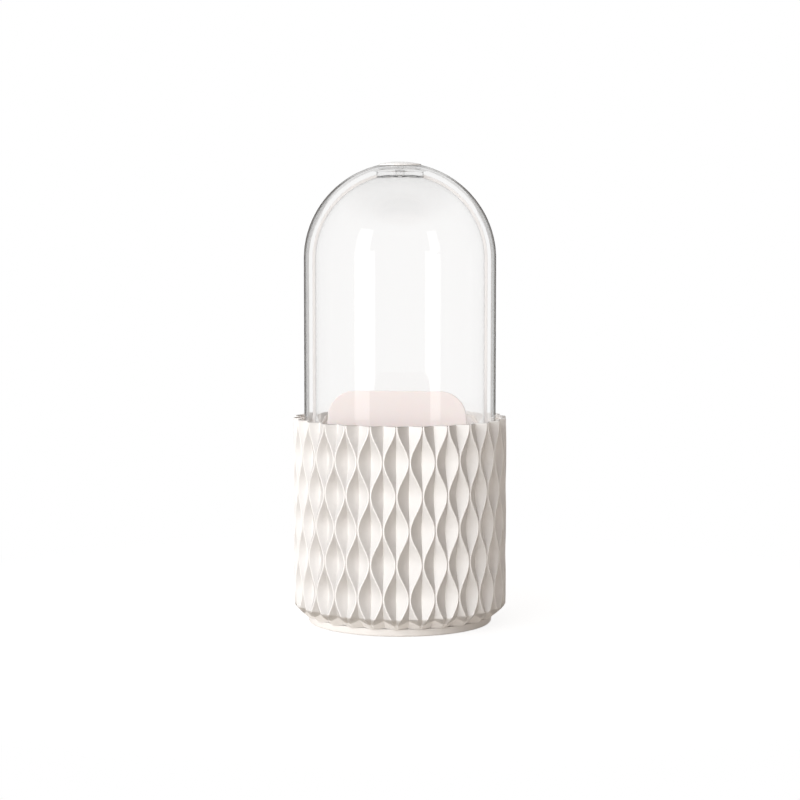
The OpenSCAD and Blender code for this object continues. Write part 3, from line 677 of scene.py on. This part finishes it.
def domeHalf(name, midAngle, crownOuter, crownInner, strip, s):
    # crownOuter runs out to the ring's edge and crownInner runs back to the middle
    outside, inside = strip
    crown = crownOuter + crownInner
    half = doorArc / 2
    closed = [midAngle - half + doorArc * k / s["seamSteps"] for k in range(s["seamSteps"] + 1)]
    gap = 360 - doorArc
    openArc = [midAngle + half + gap * k / s["openSteps"] for k in range(1, s["openSteps"])]
    verts, faces, crownRows, stripRows = [], [], [], []
    for angle in closed + openArc:
        crownRows.append([len(verts) + i for i in range(len(crown))])
        verts += [polar(r, angle, z) for r, z in crown]
    for angle in closed:
        stripRows.append([len(verts) + i for i in range(len(outside) + len(inside))])
        verts += [polar(r, angle, z) for r, z in outside + inside[::-1]]
    count = len(crownRows)
    edge = len(crownOuter) - 1
    for k in range(count):
        a, b = crownRows[k], crownRows[(k + 1) % count]
        covered = k < len(closed) - 1
        for i in range(len(crown)):
            j = (i + 1) % len(crown)
            if covered and i == edge:
                continue  # the wall starts here
            faces.append((a[i], b[i], b[j], a[j]))
    size = len(outside) + len(inside)
    for k in range(len(closed) - 1):
        a, b = stripRows[k], stripRows[k + 1]
        for i in range(size - 1):
            faces.append((a[i], b[i], b[i + 1], a[i + 1]))
    for row in (stripRows[0], stripRows[-1]):
        for i in range(len(outside) - 1):
            faces.append((row[i], row[i + 1], row[size - 2 - i], row[size - 1 - i]))
    piece = tidyMesh(addObject(name, verts, faces), 30)
    markSeams(piece, midAngle, s["seamMargin"])
    return softEdges(piece, s["seamRound"], 2, 50)


def doorHalf(s, p):
    inner = doorRadius - domeWall
    pocket = capHigh.x + p["clear"]
    middle = (earTop + earLow) / 2 - sphereZ
    edgeR = math.sqrt((doorRadius - domeWall / 2) ** 2 - middle ** 2)
    flatR = math.sqrt(inner ** 2 - (earLow - sphereZ) ** 2)
    hole = p["bush"] + p["bushClear"]
    soft, small = p["pocketRound"], p["holeRound"]
    crownOuter = [(pocket, earTop), (pocket, onSphere(doorRadius, pocket) - soft)]
    crownOuter += [(pocket + soft, onSphere(doorRadius, pocket + soft))]
    crownOuter += arcPoints(sphereZ, doorRadius, pocket + p["pocketRim"], edgeR, 3)
    crownInner = arcPoints(sphereZ, inner, edgeR, flatR, 2) + [(hole + small, earLow), (hole, earLow + small)]
    crownInner += [(hole, earTop - small), (hole + small, earTop)]
    strip = wallStrip(doorRadius, edgeR, doorLow.z, s)
    return domeHalf("dome_door_half", 0, crownOuter, crownInner, strip, s)


def rearHalf(s, p):
    pad = sphereZ + rearInner - p["padDrop"]
    edgeR = p["bush"] + p["bushClear"] + p["slipWidth"] + fitClear
    flatR = math.sqrt(rearInner ** 2 - (pad - sphereZ) ** 2)
    soft = p["ringRound"]
    crownOuter = [(p["hole"], pad), (p["hole"], crownTop), (edgeR - soft, crownTop),
                  (edgeR, crownTop - soft), (edgeR, onSphere(rearRadius, edgeR))]
    crownInner = arcPoints(sphereZ, rearInner, edgeR, flatR, 4)
    strip = wallStrip(rearRadius, edgeR, rearLow.z, s)
    return domeHalf("dome_rear_half", 180, crownOuter, crownInner, strip, s)


doorPiece = finishPiece(doorHalf(dome, pivot), "door", doorAcrylic, "clear_acrylic", "dome_door")
rearPiece = finishPiece(rearHalf(dome, pivot), "drum", rearAcrylic, "clear_acrylic", "dome_rear")
for piece in (doorPiece, rearPiece):
    piece.data.materials.append(sawnAcrylic)
print("dome built")


def buttonSection(p):
    r = capHigh.x
    crown = (r ** 2 + p["capCrown"] ** 2) / (2 * p["capCrown"])
    centre = capHigh.z - crown
    tip = capHigh.z - p["overScrew"] + p["screwGap"]
    side = [(p["capHole"], tip, 0), (p["capHole"], capLow.z, 0), (r, capLow.z, p["capSoft"]),
            (r, centre + math.sqrt(crown ** 2 - r ** 2), p["capRound"])]
    top = arcPoints(centre, crown, 0, r - p["crownIn"], 16)[::-1]
    return roundCorners(side, 5)[:-1] + top + [(0, tip)]


button = turned("pivot_button", buttonSection(pivot), 128, 40)
finishPiece(button, "drum", buttonPlastic, "button_plastic", "pivot_cap")
print("button built")

# The inner cup with its guide ribs and the ribs that the tray stands on
cup = dict(wall=1.3, floor=1.6, edgeRound=0.55, ribWidth=1.4, ribReach=3, trayRibs=(-54, -20, 20, 54),
           insertClear=0.4, bossRadius=4, bossFoot=2.5, bossRound=0.3, screwCircle=25, screwHole=1.55,
           underRound=0.6, innerRound=1.2)
tray = dict(panel=2, panelDistance=25.5, panelRise=19, cornerRound=17, depth=59.6, wall=1.5, wallDrop=7,
            partitionX=15, partitionDrop=15, wallSink=0.5, partitionSink=0.7, panelInset=0.2, cornerSteps=16,
           softEdge=0.45)
divider = dict(thickness=2, distance=10, drop=17, gap=0.6, lap=0.3, softEdge=0.35)
cupRadius = rearInner - 2 * fitClear - rim["lip"]
cupInner = cupRadius - cup["wall"]
seatZ = plateHigh.z
cupFloor = seatZ + cup["floor"]
insertRadius = cupInner - cup["insertClear"]
trayFloor = rimZ - tray["depth"]
trayLow = trayFloor - tray["wall"]
dividerTop = rimZ - divider["drop"]


def cupRibs(s):
    # outlines in plan, every one running into the cup's wall
    half = s["ribWidth"] / 2
    wallR = cupRadius - s["wall"] / 2
    low = cupFloor - sink
    parts = []
    for a in s["trayRibs"]:
        near, far = sink / 2 - wallR, s["ribReach"] - cupInner
        outline = [(-half, near), (half, near), (half, far), (-half, far)]
        parts.append(plate("rib", outline, low, trayLow - low, insertTurn + a, False))
    guide = divider["thickness"] / 2 + s["insertClear"]
    longHalf = math.sqrt(insertRadius ** 2 - (divider["distance"] + divider["thickness"] / 2) ** 2)
    for side in (-1, 1):
        for y in (divider["distance"] + guide, divider["distance"] - guide - s["ribWidth"]):
            ends = [math.sqrt(wallR ** 2 - v ** 2) for v in (y, y + s["ribWidth"])]
            start = longHalf - s["ribReach"]
            outline = [(side * start, y), (side * ends[0], y), (side * ends[1], y + s["ribWidth"]),
                       (side * start, y + s["ribWidth"])]
            parts.append(plate("rib", outline, low, dividerTop - low, insertTurn, False))
        near, far = side * guide, side * (guide + s["ribWidth"])
        ends = [math.sqrt(wallR ** 2 - v ** 2) for v in (near, far)]
        start = cupInner - s["ribReach"]
        outline = [(near, start), (far, start), (far, ends[1]), (near, ends[0])]
        parts.append(plate("rib", outline, low, dividerTop - low, insertTurn, False))
    return parts


def cupSection(s):
    return roundCorners([
        (0, seatZ, 0), (cupRadius, seatZ, s["underRound"]), (cupRadius, cupHigh.z, s["edgeRound"]),
        (cupInner, cupHigh.z, s["edgeRound"]), (cupInner, cupFloor, s["innerRound"]), (0, cupFloor, 0)])


def screwBosses(s):
    parts = []
    low, high = plateLow.z + s["bossFoot"], seatZ + 2 * sink
    section = roundCorners([(s["screwHole"], low, 0), (s["bossRadius"], low, s["bossRound"]),
                            (s["bossRadius"], high, 0), (s["screwHole"], high, 0)], 3)
    for k in range(4):
        boss = turned("boss", section, 40)
        a = math.radians(90 * (k + 0.5))
        shift = Vector((math.cos(a), math.sin(a), 0)) * s["screwCircle"] * mm
        boss.data.transform(Matrix.Translation(shift))
        parts.append(boss)
    return parts


cupParts = [turned("cup_body", cupSection(cup), 192, 40)] + cupRibs(cup) + screwBosses(cup)
finishPiece(joined("cup", cupParts), "drum", cupPlastic, "cup_plastic", "inner_cup")
print("cup built")


# The front tray: floor, curved wall, two partitions and the tall panel with round corners
def planArc(radius, frontY, steps=48, back=False):
    # the arc of a circle that lies in front of the line y = -frontY, from left to right
    edge = math.degrees(math.acos(frontY / radius))
    angles = [-edge + 2 * edge * k / steps for k in range(steps + 1)]
    points = [polar(radius, a, 0)[:2] for a in angles]
    return points[::-1] if back else points


def panelOutline(s, half, low, high):
    corner = s["cornerRound"]
    points = [(-half, low), (half, low)]
    for middle, start in ((half - corner, 0), (corner - half, 90)):
        for k in range(s["cornerSteps"] + 1):
            a = math.radians(start + 90 * k / s["cornerSteps"])
            points.append((middle + corner * math.cos(a), high - corner + corner * math.sin(a)))
    return points


def trayParts(s):
    front = s["panelDistance"] + s["panel"] / 2
    back = s["panelDistance"] - s["panel"] / 2
    inner = insertRadius - s["wall"]
    wallTop = rimZ - s["wallDrop"]
    half = math.sqrt(insertRadius ** 2 - front ** 2) - s["panelInset"]
    parts = [plate("floor", planArc(insertRadius, back), trayLow, s["wall"], insertTurn, False)]
    ring = planArc(insertRadius, front) + planArc(inner, front, back=True)
    low = trayLow + s["wallSink"]
    parts.append(plate("wall", ring, low, wallTop - low, insertTurn, False))
    outline = panelOutline(s, half, trayLow + s["wall"] / 2, rimZ + s["panelRise"])
    parts.append(plate("panel", outline, -front, s["panel"], insertTurn))
    for x in (-s["partitionX"], s["partitionX"]):
        left, right = x - s["wall"] / 2, x + s["wall"] / 2
        mid = insertRadius - s["wall"] / 2
        outline = [(left, -math.sqrt(mid ** 2 - left ** 2)), (right, -math.sqrt(mid ** 2 - right ** 2)),
                   (right, -s["panelDistance"]), (left, -s["panelDistance"])]
        low = trayLow + s["partitionSink"]
        parts.append(plate("partition", outline, low, rimZ - s["partitionDrop"] - low, insertTurn, False))
    return parts


trayPiece = softEdges(joined("tray", trayParts(tray)), tray["softEdge"], 3)
finishPiece(trayPiece, "tray", insertPlastic, "insert_plastic", "front_tray")
print("tray built")


def dividerPlates(s):
    mid = (cupFloor + dividerTop) / 2
    lap = (s["thickness"] + s["lap"]) / 2
    longHalf = math.sqrt(insertRadius ** 2 - (s["distance"] + s["thickness"] / 2) ** 2)
    backEnd = math.sqrt(insertRadius ** 2 - (s["thickness"] / 2) ** 2)
    frontEnd = s["gap"] - (tray["panelDistance"] - tray["panel"] / 2)
    y = s["distance"]
    longOutline = [(-longHalf, cupFloor), (longHalf, cupFloor), (longHalf, dividerTop), (lap, dividerTop),
                   (lap, mid - s["lap"] / 2), (-lap, mid - s["lap"] / 2), (-lap, dividerTop),
                   (-longHalf, dividerTop)]
    longPlate = plate("brush_divider_long", longOutline, y - s["thickness"] / 2, s["thickness"], insertTurn)
    shortOutline = [(frontEnd, cupFloor), (y - lap, cupFloor), (y - lap, mid + s["lap"] / 2),
                    (y + lap, mid + s["lap"] / 2), (y + lap, cupFloor), (backEnd, cupFloor),
                    (backEnd, dividerTop), (frontEnd, dividerTop)]
    # drawn across, then turned a quarter so that it runs from front to back
    shortPlate = plate("brush_divider_short", shortOutline, -s["thickness"] / 2, s["thickness"],
                       insertTurn + 90)
    return longPlate, shortPlate


for piece, node in zip(dividerPlates(divider), ("divider_long", "divider_short")):
    softEdges(piece, divider["softEdge"], 2)
    finishPiece(piece, "dividers", insertPlastic, "insert_plastic", node)
print("dividers built")

# The turntable's foot and the ring of rubber under it
foot = dict(lift=0.2, topRound=0.35, top=4.9, raceRise=2.3, raceRadius=42, raceWidth=11,
            boss=9, axle=4.05, head=7.3, headTop=3.1, ballGroove=2.7, ballRise=1.2, edgeCut=0.5, edgeRise=0.7,
            ringInset=4.5, ringWidth=7.6, ringSeat=0.8, grooves=3, grooveWidth=0.9, grooveDepth=0.3,
            grooveSlope=0.2, grooveStart=0.75)


def grooveArc(centreR, centreZ, radius, faceZ, steps=12):
    # dip below faceZ cut by a round groove, from the outside in
    a = math.acos((centreZ - faceZ) / radius)
    angles = [a - 2 * a * k / steps for k in range(steps + 1)]
    return [(centreR + radius * math.sin(t), centreZ - radius * math.cos(t), 0) for t in angles]


def footSection(s):
    edge = footHigh.x
    ringOuter = edge - s["ringInset"] + fitClear
    ringInner = edge - s["ringInset"] - s["ringWidth"] - fitClear
    seat = s["lift"] + s["ringSeat"]
    raceTop = s["top"] + s["raceRise"]
    raceOut, raceIn = s["raceRadius"] + s["raceWidth"] / 2, s["raceRadius"] - s["raceWidth"] / 2
    corners = [
        (s["head"], s["headTop"], 0), (s["head"], s["lift"], 0.2), (ringInner, s["lift"], 0.15),
        (ringInner, seat, 0), (ringOuter, seat, 0), (ringOuter, s["lift"], 0.15),
        (edge - s["edgeCut"], s["lift"], 0.3), (edge, s["lift"] + s["edgeRise"], 0.5),
        (edge, s["top"], s["topRound"]), (raceOut, s["top"], 0.4), (raceOut, raceTop, 0.3)]
    corners += grooveArc(s["raceRadius"], raceTop + s["ballRise"], s["ballGroove"], raceTop)
    corners += [(raceIn, raceTop, 0.3), (raceIn, s["top"], 0.4), (s["boss"], s["top"], 0.5),
                (s["boss"], footHigh.z, 0.4), (s["axle"], footHigh.z, 0.2), (s["axle"], s["headTop"], 0)]
    return roundCorners(corners, 4)


def rubberSection(s):
    # the ring's underside has shallow grooves
    outer = footHigh.x - s["ringInset"]
    inner = outer - s["ringWidth"]
    top = s["lift"] + s["ringSeat"]
    pitch = s["ringWidth"] / (s["grooves"] + 0.5)
    corners = [(inner, top, 0), (inner, 0, 0.2)]
    for k in range(s["grooves"]):
        start = inner + pitch * (k + s["grooveStart"])
        end = start + s["grooveWidth"]
        corners += [(start, 0, 0.05), (start + s["grooveSlope"], s["grooveDepth"], 0.08),
                    (end - s["grooveSlope"], s["grooveDepth"], 0.08), (end, 0, 0.05)]
    corners += [(outer, 0, 0.2), (outer, top, 0)]
    return roundCorners(corners, 3)


finishPiece(turned("foot", footSection(foot), 240, 40), "base", footPlastic, "foot_plastic", "turntable_foot")
finishPiece(turned("rubber_ring", rubberSection(foot), 240, 40), "base", rubberGrey, "rubber", "foot_ring")
print("foot built")

# CAD pieces that keep their own shape and get a finish
nodeFinish = dict(
    centre_axle=zincSteel, axle_washer=bearingPlastic, axle_clip=zincSteel, ball_cage=bearingPlastic,
    bearing_balls=ballSteel, turntable_plate=footPlastic, floor_screws=zincSteel, pivot_bush=clearNylon,
    slip_washer=clearNylon, pivot_screw=clearNylon, screw_washer=clearNylon)
for name, material in nodeFinish.items():
    node = nodes[name]
    if not node.data.materials:
        node.data.materials.append(material)
    for slot in node.material_slots:
        slot.material = material
print("inner pieces finished")

# Camera
shot = dict(distance=1.4, height=0.2667, aim=0.1459, lens=96.3)
cameraData = bpy.data.cameras.new("camera")
cameraData.lens = shot["lens"]
camera = bpy.data.objects.new("camera", cameraData)
camera.location = (0, -shot["distance"], shot["height"])
camera.rotation_mode = "QUATERNION"
camera.rotation_quaternion = (Vector((0, 0, shot["aim"])) - camera.location).to_track_quat("-Z", "Y")
bpy.context.scene.collection.objects.link(camera)
bpy.context.scene.camera = camera

# Studio: white floor and backdrop, a large soft key from the left, two windows that the dome mirrors and
# dark cards that draw its outline
studio = dict(
    key=dict(side=-36, height=16, distance=1.6, width=1.2, high=1.2, power=13.8),
    keyColor=(0.96, 0.98, 1),
    cards=[
        dict(side=-152, height=0, distance=0.9, width=0.5, high=0.9),
        dict(side=152, height=0, distance=0.9, width=0.5, high=0.9),
        dict(side=180, height=12, distance=0.9, width=0.9, high=0.2),
    ],
    cardColor=(0.03, 0.03, 0.03, 1),
    windows=[
        dict(side=-45.2, distance=1.3, low=0.0, high=1.12, width=0.43, glow=1.2),
        dict(side=42, distance=1.3, low=0.0, high=0.385, width=0.287, glow=1.2),
        dict(side=42, distance=1.3, low=0.44, high=1.06, width=0.287, glow=1.2),
    ],
    fillSide=-78, fillHeight=25, fillFalloff=1.7, fillLow=0.03, fillHigh=1.2, fillColor=(1, 0.62, 0.35, 1),
    fillBack=1.2, backFrom=0.15, backTo=0.9,
    backdrop=1.0, reflected=0.85, reflectedCeiling=0.2, ceilingFrom=0.6, ceilingTo=0.95,
)
floorLook = dict(size=12, color=(0.7, 0.65, 0.59, 1), seenColor=(0.9, 0.9, 0.9, 1), white=0.74, near=0.12,
                 far=0.4, lift=1.15)


def wayTo(side, height):
    # direction from the object's middle, side and height in degrees from the front
    a, e = math.radians(side), math.radians(height)
    return Vector((math.sin(a) * math.cos(e), -math.cos(a) * math.cos(e), math.sin(e)))


def faceMiddle(thing, side, height, distance, axis):
    way = wayTo(side, height)
    thing.location = Vector((0, 0, shot["aim"])) + way * distance
    thing.rotation_mode = "QUATERNION"
    thing.rotation_quaternion = (-way).to_track_quat(axis, "Y")


def addLamp(name, side, height, distance, width, high, power):
    data = bpy.data.lights.new(name, "AREA")
    data.shape = "RECTANGLE"
    data.size = width
    data.size_y = high
    data.energy = power
    lamp = bpy.data.objects.new(name, data)
    faceMiddle(lamp, side, height, distance, "-Z")
    bpy.context.scene.collection.objects.link(lamp)
    return lamp


keyLamp = addLamp("key_light", **studio["key"])
keyLamp.data.color = studio["keyColor"]
keyLamp.visible_glossy = False
keyLamp.visible_transmission = False
for number, window in enumerate(studio["windows"]):
    tall = window["high"] - window["low"]
    power = window["glow"] * math.pi * window["width"] * tall
    lamp = addLamp("window_%d" % number, window["side"], 0, window["distance"], window["width"], tall, power)
    lamp.location.z = (window["low"] + window["high"]) / 2


def addCard(name, side, height, distance, width, high):
    # a dark card behind the object, which only shows as the thin dark outline of the dome
    bpy.ops.mesh.primitive_plane_add(size=1)
    card = bpy.context.object
    card.name = name
    card.scale = (width, high, 1)
    faceMiddle(card, side, height, distance, "Z")
    card.visible_camera = False
    card.visible_diffuse = False
    card.visible_transmission = False
    card.visible_shadow = False
    card.data.materials.append(newMaterial(name, Base_Color=studio["cardColor"], Roughness=0.9)[0])


for number, card in enumerate(studio["cards"]):
    addCard("card_%d" % number, **card)


def rayMasks(tree):
    # seen: the background itself, from the camera, in reflections and through the clear walls
    # mirrored: it was reflected somewhere on the way
    path = addNode(tree, "LightPath")
    seen = calc(tree, "MAXIMUM", path.outputs["Is Camera Ray"], path.outputs["Is Glossy Ray"])
    seen = calc(tree, "MAXIMUM", seen, path.outputs["Is Transmission Ray"])
    mirrored = calc(tree, "GREATER_THAN", path.outputs["Glossy Depth"], 0.5)
    return seen, mirrored


def studioWorld(s):
    world = bpy.data.worlds.new("studio")
    world.use_nodes = True
    tree = world.node_tree
    background = tree.nodes["Background"]
    seen, mirrored = rayMasks(tree)
    # the fill is white on the key's side and falls off to a warm dusk on the other
    way = addNode(tree, "TexCoord").outputs["Generated"]
    toward = addNode(tree, "VectorMath", operation="DOT_PRODUCT")
    toward.inputs[1].default_value = wayTo(s["fillSide"], s["fillHeight"])
    share = addNode(tree, "MapRange", {"From Min": -1})
    split = addNode(tree, "SeparateXYZ")
    linkUp(tree, (way, toward.inputs[0]), (toward.outputs["Value"], share.inputs["Value"]),
           (way, split.inputs[0]))
    # behind the object it is plain again, so that the back isn't left in the dark
    behind = softStep(tree, split.outputs["Y"], s["backFrom"], s["backTo"])
    plain = calc(tree, "MAXIMUM", calc(tree, "SQRT", share.outputs[0]), behind)
    tint = blend(tree, calc(tree, "MAXIMUM", seen, plain), s["fillColor"], (1, 1, 1, 1), "RGBA")
    fill = blend(tree, calc(tree, "POWER", share.outputs[0], s["fillFalloff"]), s["fillLow"], s["fillHigh"])
    fill = calc(tree, "MAXIMUM", fill, calc(tree, "MULTIPLY", behind, s["fillBack"]))
    # the backdrop is plain white, and what the clear walls mirror of it is darker, most of all the ceiling
    up = softStep(tree, split.outputs["Z"], s["ceilingFrom"], s["ceilingTo"])
    reflected = blend(tree, up, s["reflected"], s["reflectedCeiling"])
    shown = blend(tree, mirrored, s["backdrop"], reflected)
    linkUp(tree, (tint, background.inputs["Color"]),
           (blend(tree, seen, fill, shown), background.inputs["Strength"]))
    bpy.context.scene.world = world


def studioFloor(s, look):
    bpy.ops.mesh.primitive_plane_add(size=look["size"])
    floor = bpy.context.object
    floor.name = "floor"
    material, tree, shader = newMaterial("paleFloor", Roughness=0.9, Specular_IOR_Level=0.1)
    seen, mirrored = rayMasks(tree)
    # the floor throws a warm light back up at the object
    tone = blend(tree, seen, look["color"], look["seenColor"], "RGBA")
    # part of the floor's white is its own, so that the shadow stays soft, and far out all of it is
    place = addNode(tree, "TexCoord").outputs["Object"]
    away = addNode(tree, "VectorMath", operation="LENGTH")
    linkUp(tree, (tone, shader.inputs["Base Color"]), (place, away.inputs[0]))
    far = softStep(tree, away.outputs["Value"], look["near"], look["far"])
    white = blend(tree, far, look["white"], 1.0)
    level = blend(tree, far, look["lift"], s["backdrop"])
    glow = addNode(tree, "Emission")
    linkUp(tree, (blend(tree, mirrored, level, s["reflected"]), glow.inputs["Strength"]))
    mixInto(tree, calc(tree, "MULTIPLY", seen, white), shader.outputs[0], glow.outputs[0])
    floor.data.materials.append(material)


studioWorld(studio)
studioFloor(studio, floorLook)
bpy.context.scene.view_settings.view_transform = "Standard"
print("camera and studio ready")
